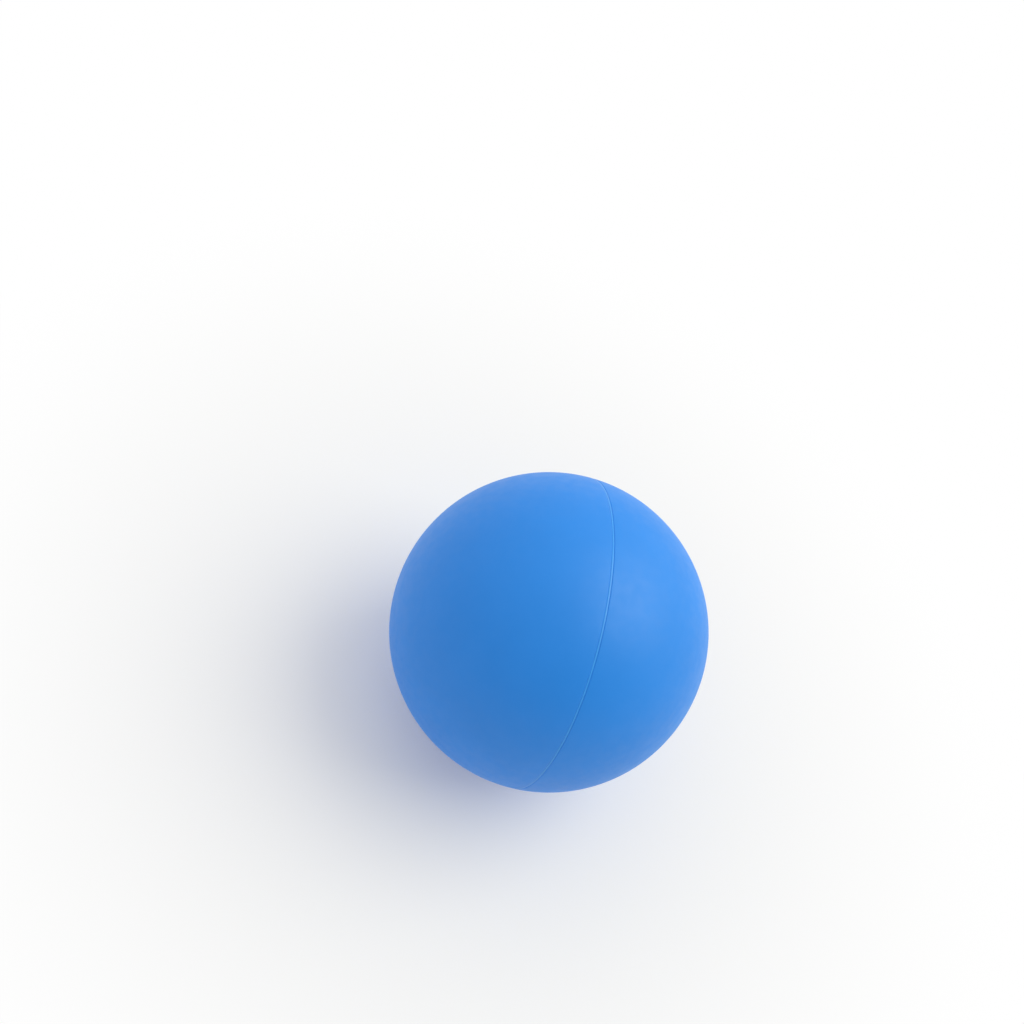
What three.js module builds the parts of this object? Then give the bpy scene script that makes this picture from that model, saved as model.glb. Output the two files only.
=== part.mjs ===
// A hollow rubber squash ball: two moulded half shells, joined at their rims by rubber cement.
//
// Sizes are in millimetres and +Z is up. The origin is the ball's centre. The poles of the two
// halves lie on the X axis, so the joint between them stands upright in the YZ plane, and the
// ball would touch a floor straight below its centre.
//
// Each piece is a section turned about the pole axis. In a section, x is the distance from the
// pole axis and y is the distance along it from the joint's middle plane. A section runs
// anticlockwise round the material, so that its faces point out.

import * as THREE from 'three';

// Driving dimensions, in millimetres.
const ballDiameter = 40; // across the finished ball
const wallThickness = 4.5; // the rubber, even all round
const bondThickness = 0.3; // the cured coats of cement between the two rims
const outerLipRadius = 0.09; // rounding that buffing leaves on each rim's outer edge
const innerRimBevel = 0.4; // where the moulding's flash was trimmed off each rim's inner edge
const bondSetback = 0.02; // from the ball's surface down to the crown of the cement line
const bondCrownHeight = 0.03; // from that crown down to the edges of the cement line
const beadOverhang = 0.2; // how far the bead inside reaches past the cement's two flat sides
const beadClearance = 0.05; // between that bead and the bevels it lies in

// How finely the round stretches are divided.
const turnSegments = 64; // about the pole axis
const outerArcSteps = 16; // from the joint to a pole, outside
const innerArcSteps = 12; // from the joint to a pole, inside
const lipSteps = 4;
const crownSteps = 4;
const beadSteps = 8;

// Finishes.
const rubberBlue = 0x3b85dc;
const rubberRoughness = 0.5;
const cementBlue = 0x5b9be4;
const cementRoughness = 0.4;

// Sizes that follow from the driving dimensions.
const outerRadius = ballDiameter / 2;
const innerRadius = outerRadius - wallThickness;
const rimHeight = bondThickness / 2; // from the joint's middle plane to each rim's flat face

// Points on an arc. Angles are in radians, from straight up along the pole axis towards the joint.
function arcPoints(centre, radius, startAngle, endAngle, steps) {
	const points = [];
	for (let i = 0; i <= steps; i++) {
		const angle = THREE.MathUtils.lerp(startAngle, endAngle, i / steps);
		const x = centre.x + radius * Math.sin(angle);
		const y = centre.y + radius * Math.cos(angle);
		points.push(new THREE.Vector2(x, y));
	}
	return points;
}

// One half's section: down the inner wall from the pole, over the bevel, out along the flat rim,
// round the lip and up the outer wall to the pole.
function halfShellSection() {
	const centre = new THREE.Vector2(0, 0);
	const bevelTop = rimHeight + innerRimBevel;
	const innerEndAngle = Math.acos(bevelTop / innerRadius);
	const rimInnerEdge = new THREE.Vector2(innerRadius + innerRimBevel, rimHeight);

	// The lip's arc touches the outer wall and the flat rim.
	const lipCentre = new THREE.Vector2(0, rimHeight + outerLipRadius);
	lipCentre.x = Math.sqrt((outerRadius - outerLipRadius) ** 2 - lipCentre.y ** 2);
	const lipTopAngle = Math.atan2(lipCentre.x, lipCentre.y);

	const innerWall = arcPoints(centre, innerRadius, 0, innerEndAngle, innerArcSteps);
	const lip = arcPoints(lipCentre, outerLipRadius, Math.PI, lipTopAngle, lipSteps);
	const outerWall = arcPoints(centre, outerRadius, lipTopAngle, 0, outerArcSteps);
	return [...innerWall, rimInnerEdge, ...lip, ...outerWall.slice(1)];
}

// The cement's section: a flat web between the rims, crowned where it shows outside, with the
// bead that was squeezed out lying in the two bevels inside.
function bondSection() {
	const crownTop = outerRadius - bondSetback;
	const crown = [];
	for (let i = 0; i <= crownSteps; i++) {
		const across = THREE.MathUtils.lerp(-1, 1, i / crownSteps);
		crown.push(new THREE.Vector2(crownTop - bondCrownHeight * across ** 2, rimHeight * across));
	}

	// The bevels slope at 45 degrees, so the bead's centre lies this far in to stay clear of both.
	const beadRadius = rimHeight + beadOverhang;
	const bevelsMeet = innerRadius + innerRimBevel + rimHeight;
	const beadCentre = new THREE.Vector2(bevelsMeet - Math.SQRT2 * (beadRadius + beadClearance), 0);
	const webAngle = Math.acos(rimHeight / beadRadius);
	const bead = arcPoints(beadCentre, beadRadius, webAngle, -Math.PI - webAngle, beadSteps);

	const section = [...crown, ...bead];
	section.push(crown[0].clone());
	return section;
}

// Turns a section into a solid whose pole points along +X.
function turned(section) {
	const geometry = new THREE.LatheGeometry(section, turnSegments);
	const xAxis = new THREE.Vector3(1, 0, 0);
	const yAxis = new THREE.Vector3(0, 1, 0);
	const zAxis = new THREE.Vector3(0, 0, 1);
	geometry.applyMatrix4(new THREE.Matrix4().makeBasis(zAxis, xAxis, yAxis));
	return geometry;
}

function rubber() {
	return new THREE.MeshStandardMaterial({
		color: rubberBlue,
		roughness: rubberRoughness,
		metalness: 0,
	});
}

function cement() {
	return new THREE.MeshStandardMaterial({
		color: cementBlue,
		roughness: cementRoughness,
		metalness: 0,
	});
}

function makeHalfShell(name) {
	const halfShell = new THREE.Mesh(turned(halfShellSection()), rubber());
	halfShell.name = name;
	return halfShell;
}

function makeSeamCement() {
	const seamCement = new THREE.Mesh(turned(bondSection()), cement());
	seamCement.name = 'seam_cement';
	return seamCement;
}

const rightHalfShell = makeHalfShell('right_half_shell');
const leftHalfShell = makeHalfShell('left_half_shell');
leftHalfShell.rotation.z = Math.PI; // the same moulding, turned to face the other way

const squashBall = new THREE.Group();
squashBall.name = 'squash_ball';
squashBall.add(rightHalfShell, leftHalfShell, makeSeamCement());

export default squashBall;
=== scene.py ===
"""Dresses the solid parts of a hollow rubber squash ball for a studio picture.

The two moulded half shells and the cement that joins them are turned finely about the pole
axis, with the rounded lips and the crowned cement line that show outside as one hair-fine
seam. Sizes come from the solid parts. Everything is in metres, in the solid parts' own frame.
"""
import math

import bmesh
import bpy
from bpy.props import FloatProperty, FloatVectorProperty, PointerProperty
from mathutils import Matrix, Quaternion, Vector, noise


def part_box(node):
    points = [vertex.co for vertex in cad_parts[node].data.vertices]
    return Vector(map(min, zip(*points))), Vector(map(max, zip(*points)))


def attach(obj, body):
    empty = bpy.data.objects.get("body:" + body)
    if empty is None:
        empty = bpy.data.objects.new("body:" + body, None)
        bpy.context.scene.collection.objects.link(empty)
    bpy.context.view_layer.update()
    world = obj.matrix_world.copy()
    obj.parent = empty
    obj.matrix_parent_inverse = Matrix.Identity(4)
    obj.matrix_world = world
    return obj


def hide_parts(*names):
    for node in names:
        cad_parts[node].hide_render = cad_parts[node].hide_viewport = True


bl_info = {
    "name": "Squash Ball",
    "version": (1, 0, 0),
    "blender": (4, 5, 0),
    "location": "3D View > Sidebar > Squash Ball",
    "description": "Makes a hollow rubber squash ball and the small studio it is pictured in",
    "category": "Add Mesh",
}

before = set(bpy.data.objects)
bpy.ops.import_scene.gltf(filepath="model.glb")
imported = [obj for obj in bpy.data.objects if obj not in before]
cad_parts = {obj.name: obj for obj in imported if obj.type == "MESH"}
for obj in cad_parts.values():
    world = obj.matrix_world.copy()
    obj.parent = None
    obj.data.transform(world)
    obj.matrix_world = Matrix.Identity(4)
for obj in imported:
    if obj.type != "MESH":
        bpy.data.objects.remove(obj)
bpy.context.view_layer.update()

RIGHT_SHELL = "right_half_shell"
LEFT_SHELL = "left_half_shell"
CEMENT = "seam_cement"

# Sizes of the solid parts.
shell_low, shell_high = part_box(RIGHT_SHELL)
cement_low, cement_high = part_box(CEMENT)
shell_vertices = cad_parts[RIGHT_SHELL].data.vertices
OUTER_RADIUS = shell_high.x
INNER_RADIUS = min(vertex.co.length for vertex in shell_vertices)
RIM_HEIGHT = shell_low.x  # from the joint's middle plane to a rim's flat face
CROWN_RADIUS = cement_high.z
BEAD_RADIUS = cement_high.x

# How finely the round stretches are divided.
TURN_STEPS = 256
OUTER_WALL_STEPS = 64
INNER_WALL_STEPS = 32
LIP_STEPS = 10
CROWN_STEPS = 12
BEAD_STEPS = 20
SHARP_ANGLE = math.radians(35)
MERGE_DISTANCE = 1e-8

# Unevenness along the seam is read from noise round a circle, and a larger circle has shorter waves.
LIP_CIRCLE = 9
LIP_HEIGHT = 3.1
CROWN_CIRCLE = 14
CROWN_HEIGHT = 7.7

# Widths of the patterns in the finishes.
CLOUD_SIZE = 0.006  # clouds that mixing left in the rubber's colour
PATCH_SIZE = 0.0012  # smoother and rougher patches of the rubber
# The cement's pale middle holds a painted highlight along its crown as well as the cement's own paler
# colour.
STREAK_SIZE = 0.0012  # streaks in the cement's pale middle
FAINTEST_STREAK = 0.7  # share of the pale colour that a streak keeps at least
NOISE_LOW = 0.35  # most of a noise pattern lies between these two
NOISE_HIGH = 0.65
FLOOR_ROUGHNESS = 0.9

# The photograph's framing, in pixels of a square picture, and the camera behind it.
PICTURE_SIDE = 1024
FOCAL_LENGTH = 1400
BALL_PLACE = (548.4, 630.8)
CAMERA_DISTANCE = 8.856 * OUTER_RADIUS
CAMERA_AZIMUTH = math.radians(32.42)  # of the line of sight, from +Y towards +X
CAMERA_ELEVATION = math.radians(56.58)
CAMERA_LEAN = math.radians(42.22)  # the camera is turned this far about the line of sight
SENSOR_WIDTH_MM = 36
NEAREST_SEEN = 0.001
FARTHEST_SEEN = 10

SOFTBOX_DISTANCE = 1
SOFTBOX_AZIMUTH = math.radians(77)  # from +Y towards +X
SOFTBOX_ELEVATION = math.radians(55)
BRIGHT_SIDE = Vector((-0.27, 0.94, 0.21)).normalized()  # where the surroundings are brightest

# The floor keeps the ball's shadow, and from under the ball outwards it fades into plain white.
FLOOR_HALF_SIDE = 1.5
FADE_END = 4.5 * OUTER_RADIUS


class BallSizes(bpy.types.PropertyGroup):
    """Sizes that the solid parts leave open."""

    lip_radius: FloatProperty(
        name="Lip rounding",
        description="Radius that buffing leaves on each rim's outer edge",
        default=0.00009,
        min=0.00002,
        unit="LENGTH",
        precision=5,
    )
    inner_bevel: FloatProperty(
        name="Inner bevel",
        description="Width of the trimmed bevel on each rim's inner edge",
        default=0.0004,
        min=0.0001,
        unit="LENGTH",
        precision=5,
    )
    crown_height: FloatProperty(
        name="Cement crown",
        description="How far the cement line rounds down from its crown to its edges",
        default=0.00003,
        min=0,
        unit="LENGTH",
        precision=5,
    )
    bead_clearance: FloatProperty(
        name="Bead clearance",
        description="Between the squeezed-out bead inside and the bevels it lies in",
        default=0.00005,
        min=0,
        unit="LENGTH",
        precision=5,
    )
    lip_wander: FloatProperty(
        name="Lip wander",
        description="How unevenly the lips were buffed, as a share of their rounding",
        default=0.25,
        min=0,
        max=0.6,
        subtype="FACTOR",
    )
    crown_wander: FloatProperty(
        name="Crown wander",
        description="How much the cement line rises and sinks along the seam",
        default=0.000008,
        min=0,
        unit="LENGTH",
        precision=6,
    )


class BallFinish(bpy.types.PropertyGroup):
    """Colours and surface qualities of the rubber and the cement."""

    rubber_colour: FloatVectorProperty(
        name="Rubber",
        description="Colour of the rubber",
        subtype="COLOR",
        size=3,
        min=0,
        max=1,
        default=(0.008, 0.279, 0.935),
    )
    rubber_shade: FloatVectorProperty(
        name="Rubber shade",
        description="Slightly deeper colour of the rubber where its mixing was uneven",
        subtype="COLOR",
        size=3,
        min=0,
        max=1,
        default=(0.006, 0.271, 0.915),
    )
    rubber_roughness: FloatProperty(
        name="Rubber roughness",
        description="Roughness of the buffed rubber",
        default=0.5,
        min=0,
        max=1,
        subtype="FACTOR",
    )
    roughness_spread: FloatProperty(
        name="Roughness spread",
        description="How much the roughness differs from place to place, either way",
        default=0.035,
        min=0,
        max=0.2,
        subtype="FACTOR",
    )
    grain_size: FloatProperty(
        name="Grain size",
        description="Width of the fine marks that buffing leaves",
        default=0.00016,
        min=0.00002,
        unit="LENGTH",
        precision=5,
    )
    grain_depth: FloatProperty(
        name="Grain depth",
        description="Depth of the fine marks that buffing leaves",
        default=0.0000015,
        min=0,
        unit="LENGTH",
        precision=6,
    )
    # The pale colour along the cement line's middle is partly the cement's own paler colour and partly
    # a painted highlight along its crown.
    cement_and_highlight_colour: FloatVectorProperty(
        name="Cement",
        description="Colour of the cured cement along the middle of its line",
        subtype="COLOR",
        size=3,
        min=0,
        max=1,
        default=(0.05, 0.42, 1),
    )
    # How far the pale middle, paler cement with a painted highlight on it, reaches out from the line's
    # middle.
    pale_and_highlight_reach: FloatProperty(
        name="Pale middle",
        description="How far the cement's pale middle fades out, as a share of its half width",
        default=0.8,
        min=0.1,
        max=1.5,
        subtype="FACTOR",
    )
    cement_roughness: FloatProperty(
        name="Cement roughness",
        description="Roughness of the cured cement line",
        default=0.4,
        min=0,
        max=1,
        subtype="FACTOR",
    )
    refraction: FloatProperty(
        name="Refractive index",
        description="How strongly the buffed surface reflects its surroundings",
        default=1.55,
        min=1,
        max=2,
    )


class StudioSettings(bpy.types.PropertyGroup):
    """The white floor and the soft light."""

    floor_colour: FloatVectorProperty(
        name="Floor",
        description="Colour of the floor",
        subtype="COLOR",
        size=3,
        min=0,
        max=1,
        default=(0.93, 0.93, 0.955),
    )
    surround_bright: FloatProperty(
        name="Surroundings, bright side",
        description="Strength of the surrounding light where it is brightest",
        default=0.8,
        min=0,
    )
    surround_dim: FloatProperty(
        name="Surroundings, dim side",
        description="Strength of the surrounding light on the opposite side",
        default=0.24,
        min=0,
    )
    key_light: FloatProperty(
        name="Key light",
        description="How brightly the softbox alone would show a white card",
        default=0.57,
        min=0,
    )
    key_colour: FloatVectorProperty(
        name="Key light colour",
        description="Colour of the softbox, slightly yellow beside the surroundings",
        subtype="COLOR",
        size=3,
        min=0,
        max=1,
        default=(1, 1, 0.87),
    )
    key_side: FloatProperty(
        name="Key light side",
        description="Side of the square softbox",
        default=0.9,
        min=0.01,
        unit="LENGTH",
    )


def wander(angle, circle, height):
    """A smooth uneven value from about -1 to 1 that closes on itself round the seam."""
    place = Vector((circle * math.cos(angle), circle * math.sin(angle), height))
    return noise.noise(place)


def arc(centre, radius, start, end, steps):
    """Points on an arc as (from the pole axis, along it), with angles counted from the pole."""
    points = []
    for step in range(steps + 1):
        angle = start + (end - start) * step / steps
        across = centre[0] + radius * math.sin(angle)
        along = centre[1] + radius * math.cos(angle)
        points.append((across, along))
    return points


def half_shell_section(sizes, turn_angle):
    """One half's section: down the inner wall, over the bevel and rim, and up the outer wall."""
    lip_radius = sizes.lip_radius * (1 + sizes.lip_wander * wander(turn_angle, LIP_CIRCLE, LIP_HEIGHT))
    bevel_top = RIM_HEIGHT + sizes.inner_bevel
    lip_along = RIM_HEIGHT + lip_radius
    lip_across = math.sqrt((OUTER_RADIUS - lip_radius) ** 2 - lip_along**2)
    lip_top_angle = math.atan2(lip_across, lip_along)

    inner_end_angle = math.acos(bevel_top / INNER_RADIUS)
    section = arc((0, 0), INNER_RADIUS, 0, inner_end_angle, INNER_WALL_STEPS)
    section.append((INNER_RADIUS + sizes.inner_bevel, RIM_HEIGHT))
    section += arc((lip_across, lip_along), lip_radius, math.pi, lip_top_angle, LIP_STEPS)
    section += arc((0, 0), OUTER_RADIUS, lip_top_angle, 0, OUTER_WALL_STEPS)[1:]
    return section


def cement_section(sizes, turn_angle):
    """The cement's section: the crowned line outside, the flat web and the bead inside."""
    sink = 1 + wander(turn_angle, CROWN_CIRCLE, CROWN_HEIGHT)
    crown_top = CROWN_RADIUS - sizes.crown_wander * sink
    section = []
    for step in range(CROWN_STEPS + 1):
        share = 2 * step / CROWN_STEPS - 1
        section.append((crown_top - sizes.crown_height * share**2, RIM_HEIGHT * share))

    bevels_meet = INNER_RADIUS + sizes.inner_bevel + RIM_HEIGHT
    bead_across = bevels_meet - math.sqrt(2) * (BEAD_RADIUS + sizes.bead_clearance)
    web_angle = math.acos(RIM_HEIGHT / BEAD_RADIUS)
    section += arc((bead_across, 0), BEAD_RADIUS, web_angle, -math.pi - web_angle, BEAD_STEPS)
    section.append(section[0])
    return section


def turned_mesh(name, section_at, side):
    """A closed mesh turned about the X axis from the section at each angle.

    side is 1 where the section's pole points along +X and -1 where it points along -X.
    """
    work = bmesh.new()
    rings = []
    for step in range(TURN_STEPS):
        angle = 2 * math.pi * step / TURN_STEPS
        turn = Matrix.Rotation(angle, 4, "X")
        ring = []
        for across, along in section_at(angle):
            ring.append(work.verts.new(turn @ Vector((side * along, 0, across))))
        rings.append(ring)
    for step, ring in enumerate(rings):
        following = rings[(step + 1) % TURN_STEPS]
        for place in range(len(ring) - 1):
            corners = (ring[place], ring[place + 1], following[place + 1], following[place])
            work.faces.new(corners)
    bmesh.ops.remove_doubles(work, verts=work.verts, dist=MERGE_DISTANCE)
    bmesh.ops.recalc_face_normals(work, faces=work.faces)
    for face in work.faces:
        face.smooth = True
    mesh = bpy.data.meshes.new(name)
    work.to_mesh(mesh)
    work.free()
    mesh.set_sharp_from_angle(angle=SHARP_ANGLE)
    return mesh


def add_object(name, data):
    """Links a new object that holds data to the scene."""
    made = bpy.data.objects.new(name, data)
    bpy.context.scene.collection.objects.link(made)
    return made


def add_piece(name, mesh, material, node):
    """Adds a piece of the ball that stands for a solid part and rides with it."""
    mesh.materials.append(material)
    piece = add_object(name, mesh)
    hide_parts(node)
    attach(piece, "root")
    return piece


def new_material(name):
    """An empty material, with its nodes, its links and its shader joined to the output."""
    material = bpy.data.materials.new(name)
    material.use_nodes = True
    nodes = material.node_tree.nodes
    nodes.clear()
    output = nodes.new("ShaderNodeOutputMaterial")
    shader = nodes.new("ShaderNodeBsdfPrincipled")
    material.node_tree.links.new(shader.outputs["BSDF"], output.inputs["Surface"])
    return material, nodes, material.node_tree.links, shader


def add_noise(nodes, links, place, feature_size, detail):
    """A noise pattern whose features are about feature_size wide."""
    pattern = nodes.new("ShaderNodeTexNoise")
    pattern.inputs["Scale"].default_value = 1 / feature_size
    pattern.inputs["Detail"].default_value = detail
    links.new(place.outputs["Object"], pattern.inputs["Vector"])
    return pattern


def add_range(nodes, links, source, low, high):
    """Spreads a noise pattern's middle range from low to high."""
    spread = nodes.new("ShaderNodeMapRange")
    spread.inputs["From Min"].default_value = NOISE_LOW
    spread.inputs["From Max"].default_value = NOISE_HIGH
    spread.inputs["To Min"].default_value = low
    spread.inputs["To Max"].default_value = high
    links.new(source, spread.inputs["Value"])
    return spread.outputs["Result"]


def add_seen_white(nodes, links):
    """A factor that is 1 on the rays by which the camera, metal and glass see a background."""
    ray = nodes.new("ShaderNodeLightPath")
    seen_or_mirrored = nodes.new("ShaderNodeMath")
    seen_or_mirrored.operation = "MAXIMUM"
    links.new(ray.outputs["Is Camera Ray"], seen_or_mirrored.inputs[0])
    links.new(ray.outputs["Is Glossy Ray"], seen_or_mirrored.inputs[1])
    seen = nodes.new("ShaderNodeMath")
    seen.operation = "MAXIMUM"
    links.new(seen_or_mirrored.outputs["Value"], seen.inputs[0])
    links.new(ray.outputs["Is Transmission Ray"], seen.inputs[1])
    return seen.outputs["Value"]


def rubber_material():
    """Buffed blue rubber: faint clouds from mixing, fine grain and a soft satin shine."""
    finish = bpy.context.scene.squash_ball_finish
    material, nodes, links, shader = new_material("buffed_blue_rubber")
    place = nodes.new("ShaderNodeTexCoord")

    clouds = add_noise(nodes, links, place, CLOUD_SIZE, detail=3)
    blend = nodes.new("ShaderNodeMix")
    blend.data_type = "RGBA"
    blend.inputs["A"].default_value = (*finish.rubber_shade, 1)
    blend.inputs["B"].default_value = (*finish.rubber_colour, 1)
    cloud_share = add_range(nodes, links, clouds.outputs["Fac"], 0, 1)
    links.new(cloud_share, blend.inputs["Factor"])
    links.new(blend.outputs["Result"], shader.inputs["Base Color"])

    patches = add_noise(nodes, links, place, PATCH_SIZE, detail=3)
    smoothest = finish.rubber_roughness - finish.roughness_spread
    roughest = finish.rubber_roughness + finish.roughness_spread
    roughness = add_range(nodes, links, patches.outputs["Fac"], smoothest, roughest)
    links.new(roughness, shader.inputs["Roughness"])

    grain = add_noise(nodes, links, place, finish.grain_size, detail=2)
    bump = nodes.new("ShaderNodeBump")
    bump.inputs["Strength"].default_value = 1
    bump.inputs["Distance"].default_value = finish.grain_depth
    links.new(grain.outputs["Fac"], bump.inputs["Height"])
    links.new(bump.outputs["Normal"], shader.inputs["Normal"])

    shader.inputs["IOR"].default_value = finish.refraction
    return material


def cement_material():
    """Cured rubber cement: palest and streaky along its middle, like the rubber at its edges. The pale
    middle is the cement's own paler colour together with a painted highlight along its crown.
    """
    finish = bpy.context.scene.squash_ball_finish
    material, nodes, links, shader = new_material("cured_cement")
    place = nodes.new("ShaderNodeTexCoord")

    # This mask is 1 along the line's middle and falls to 0 towards its edges. It narrows the pale
    # colour into a painted highlight on the crown.
    split = nodes.new("ShaderNodeSeparateXYZ")
    links.new(place.outputs["Object"], split.inputs["Vector"])
    off_middle = nodes.new("ShaderNodeMath")
    off_middle.operation = "ABSOLUTE"
    links.new(split.outputs["X"], off_middle.inputs[0])
    middle = nodes.new("ShaderNodeMapRange")
    middle.interpolation_type = "SMOOTHSTEP"
    middle.inputs["From Max"].default_value = RIM_HEIGHT * finish.pale_and_highlight_reach
    middle.inputs["To Min"].default_value = 1
    middle.inputs["To Max"].default_value = 0
    links.new(off_middle.outputs["Value"], middle.inputs["Value"])

    streaks = add_noise(nodes, links, place, STREAK_SIZE, detail=2)
    # Share of the pale colour, paler cement and painted highlight together, made streaky along the
    # seam.
    pale_and_highlight_share = nodes.new("ShaderNodeMath")
    pale_and_highlight_share.operation = "MULTIPLY"
    links.new(middle.outputs["Result"], pale_and_highlight_share.inputs[0])
    streak_share = add_range(nodes, links, streaks.outputs["Fac"], FAINTEST_STREAK, 1)
    links.new(streak_share, pale_and_highlight_share.inputs[1])
    blend = nodes.new("ShaderNodeMix")
    blend.data_type = "RGBA"
    blend.inputs["A"].default_value = (*finish.rubber_shade, 1)
    blend.inputs["B"].default_value = (*finish.cement_and_highlight_colour, 1)
    links.new(pale_and_highlight_share.outputs["Value"], blend.inputs["Factor"])
    links.new(blend.outputs["Result"], shader.inputs["Base Color"])

    shader.inputs["Roughness"].default_value = finish.cement_roughness
    shader.inputs["IOR"].default_value = finish.refraction
    return material


def floor_material():
    """White floor that takes the ball's soft shadow and fades into the white surroundings."""
    studio = bpy.context.scene.squash_ball_studio
    material, nodes, links, shader = new_material("white_floor")
    shader.inputs["Base Color"].default_value = (*studio.floor_colour, 1)
    shader.inputs["Roughness"].default_value = FLOOR_ROUGHNESS
    shader.inputs["Specular IOR Level"].default_value = 0

    place = nodes.new("ShaderNodeTexCoord")
    distance = nodes.new("ShaderNodeVectorMath")
    distance.operation = "LENGTH"
    links.new(place.outputs["Object"], distance.inputs[0])
    fade = nodes.new("ShaderNodeMapRange")
    fade.interpolation_type = "SMOOTHSTEP"
    fade.inputs["From Max"].default_value = FADE_END
    links.new(distance.outputs["Value"], fade.inputs["Value"])
    share = nodes.new("ShaderNodeMath")
    share.operation = "MULTIPLY"
    links.new(fade.outputs["Result"], share.inputs[0])
    links.new(add_seen_white(nodes, links), share.inputs[1])

    white = nodes.new("ShaderNodeEmission")
    mix = nodes.new("ShaderNodeMixShader")
    output = next(node for node in nodes if node.type == "OUTPUT_MATERIAL")
    links.new(share.outputs["Value"], mix.inputs["Fac"])
    links.new(shader.outputs["BSDF"], mix.inputs[1])
    links.new(white.outputs["Emission"], mix.inputs[2])
    links.new(mix.outputs["Shader"], output.inputs["Surface"])
    return material


class SQUASHBALL_OT_half_shells(bpy.types.Operator):
    """Make the two moulded half shells"""

    bl_idname = "squash_ball.half_shells"
    bl_label = "Half Shells"

    def execute(self, context):
        sizes = context.scene.squash_ball_sizes
        material = rubber_material()
        for name, node, side in (
            ("ball_right_half", RIGHT_SHELL, 1),
            ("ball_left_half", LEFT_SHELL, -1),
        ):
            mesh = turned_mesh(name, lambda angle: half_shell_section(sizes, angle), side)
            add_piece(name, mesh, material, node)
        return {"FINISHED"}


class SQUASHBALL_OT_seam_cement(bpy.types.Operator):
    """Make the cement that joins the half shells and shows as the seam"""

    bl_idname = "squash_ball.seam_cement"
    bl_label = "Seam Cement"

    def execute(self, context):
        sizes = context.scene.squash_ball_sizes
        mesh = turned_mesh("ball_seam", lambda angle: cement_section(sizes, angle), 1)
        add_piece("ball_seam", mesh, cement_material(), CEMENT)
        return {"FINISHED"}


def aim_camera(camera):
    """Puts the camera where the photograph was taken from, as seen from the ball."""
    flat = math.cos(CAMERA_ELEVATION)
    sight = Vector(
        (
            math.sin(CAMERA_AZIMUTH) * flat,
            math.cos(CAMERA_AZIMUTH) * flat,
            -math.sin(CAMERA_ELEVATION),
        )
    )
    right = sight.cross(Vector((0, 0, 1))).normalized()
    up = right.cross(sight)
    upright = Matrix((right, up, -sight)).transposed().to_quaternion()
    lean = Quaternion((0, 0, 1), CAMERA_LEAN)

    middle = PICTURE_SIDE / 2
    ball_across = (BALL_PLACE[0] - middle) / FOCAL_LENGTH
    ball_down = (BALL_PLACE[1] - middle) / FOCAL_LENGTH
    straight_on = Vector((0, 0, -1))
    off_centre = straight_on.rotation_difference(Vector((ball_across, -ball_down, -1)))

    camera.location = -sight * CAMERA_DISTANCE
    camera.rotation_mode = "QUATERNION"
    camera.rotation_quaternion = upright @ lean @ off_centre.inverted()


def add_camera():
    """Adds the camera and makes it the scene's own."""
    lens = bpy.data.cameras.new("studio_camera")
    lens.sensor_width = SENSOR_WIDTH_MM
    lens.lens = FOCAL_LENGTH / PICTURE_SIDE * SENSOR_WIDTH_MM
    lens.clip_start = NEAREST_SEEN
    lens.clip_end = FARTHEST_SEEN
    camera = add_object("studio_camera", lens)
    aim_camera(camera)
    bpy.context.scene.camera = camera


def add_floor():
    """Adds the white floor under the ball."""
    mesh = bpy.data.meshes.new("floor")
    signs = ((-1, -1), (1, -1), (1, 1), (-1, 1))
    corners = [(x * FLOOR_HALF_SIDE, y * FLOOR_HALF_SIDE, -OUTER_RADIUS) for x, y in signs]
    mesh.from_pydata(corners, [], [(0, 1, 2, 3)])
    mesh.materials.append(floor_material())
    add_object("floor", mesh)


def add_softbox():
    """Adds the softbox on the right, which gives the ball its broad sheen."""
    studio = bpy.context.scene.squash_ball_studio
    flat = math.cos(SOFTBOX_ELEVATION)
    east = math.sin(SOFTBOX_AZIMUTH) * flat
    north = math.cos(SOFTBOX_AZIMUTH) * flat
    direction = Vector((east, north, math.sin(SOFTBOX_ELEVATION)))
    softbox = bpy.data.lights.new("softbox", "AREA")
    softbox.shape = "SQUARE"
    softbox.size = studio.key_side
    softbox.color = studio.key_colour
    # A small square lamp of this power shows a white card that faces it at the key light's level.
    softbox.energy = studio.key_light * (math.pi * SOFTBOX_DISTANCE) ** 2
    lamp = add_object("softbox", softbox)
    lamp.location = direction * SOFTBOX_DISTANCE
    lamp.rotation_mode = "QUATERNION"
    lamp.rotation_quaternion = direction.to_track_quat("Z", "Y")


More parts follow.
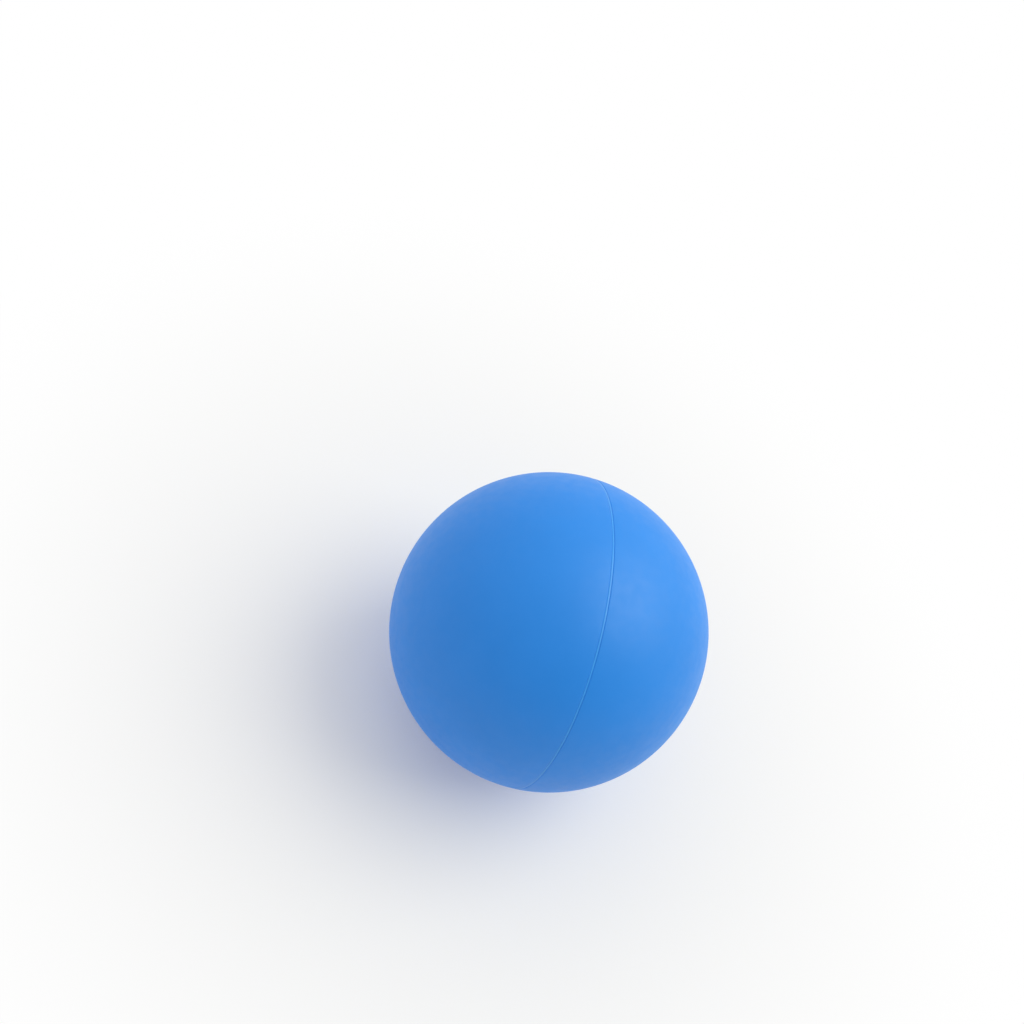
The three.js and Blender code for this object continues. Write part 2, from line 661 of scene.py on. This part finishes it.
def add_surroundings():
    """Adds the soft light from all sides, which is seen and mirrored as plain white."""
    studio = bpy.context.scene.squash_ball_studio
    world = bpy.data.worlds.new("white_surroundings")
    bpy.context.scene.world = world
    world.use_nodes = True
    nodes = world.node_tree.nodes
    links = world.node_tree.links
    nodes.clear()

    lighting = nodes.new("ShaderNodeBackground")
    direction = nodes.new("ShaderNodeTexCoord")
    towards_bright = nodes.new("ShaderNodeVectorMath")
    towards_bright.operation = "DOT_PRODUCT"
    towards_bright.inputs[1].default_value = BRIGHT_SIDE
    links.new(direction.outputs["Generated"], towards_bright.inputs[0])
    strength = nodes.new("ShaderNodeMapRange")
    strength.inputs["From Min"].default_value = -1
    strength.inputs["From Max"].default_value = 1
    strength.inputs["To Min"].default_value = studio.surround_dim
    strength.inputs["To Max"].default_value = studio.surround_bright
    links.new(towards_bright.outputs["Value"], strength.inputs["Value"])
    links.new(strength.outputs["Result"], lighting.inputs["Strength"])

    white = nodes.new("ShaderNodeBackground")
    mix = nodes.new("ShaderNodeMixShader")
    output = nodes.new("ShaderNodeOutputWorld")
    for background in (lighting, white):
        background.inputs["Color"].default_value = (1, 1, 1, 1)
    links.new(add_seen_white(nodes, links), mix.inputs["Fac"])
    links.new(lighting.outputs["Background"], mix.inputs[1])
    links.new(white.outputs["Background"], mix.inputs[2])
    links.new(mix.outputs["Shader"], output.inputs["Surface"])


class SQUASHBALL_OT_studio(bpy.types.Operator):
    """Make the floor, the light and the camera"""

    bl_idname = "squash_ball.studio"
    bl_label = "Studio"

    def execute(self, context):
        context.scene.view_settings.view_transform = "Standard"
        add_camera()
        add_floor()
        add_softbox()
        add_surroundings()
        return {"FINISHED"}


class SQUASHBALL_PT_panel(bpy.types.Panel):
    """Sizes, finishes and steps of the squash ball"""

    bl_label = "Squash Ball"
    bl_idname = "SQUASHBALL_PT_panel"
    bl_space_type = "VIEW_3D"
    bl_region_type = "UI"
    bl_category = "Squash Ball"

    def draw(self, context):
        for settings in (
            context.scene.squash_ball_sizes,
            context.scene.squash_ball_finish,
            context.scene.squash_ball_studio,
        ):
            box = self.layout.box()
            for name in settings.__annotations__:
                box.prop(settings, name)
        for operator in OPERATORS:
            self.layout.operator(operator.bl_idname)


SETTINGS = {
    "squash_ball_sizes": BallSizes,
    "squash_ball_finish": BallFinish,
    "squash_ball_studio": StudioSettings,
}
OPERATORS = (SQUASHBALL_OT_studio, SQUASHBALL_OT_half_shells, SQUASHBALL_OT_seam_cement)
CLASSES = (*SETTINGS.values(), *OPERATORS, SQUASHBALL_PT_panel)


def register():
    for made in CLASSES:
        bpy.utils.register_class(made)
    for name, group in SETTINGS.items():
        setattr(bpy.types.Scene, name, PointerProperty(type=group))


def unregister():
    for name in SETTINGS:
        delattr(bpy.types.Scene, name)
    for made in reversed(CLASSES):
        bpy.utils.unregister_class(made)


def main():
    register()
    bpy.ops.squash_ball.studio()
    bpy.ops.squash_ball.half_shells()
    bpy.ops.squash_ball.seam_cement()


if __name__ == "__main__":
    main()
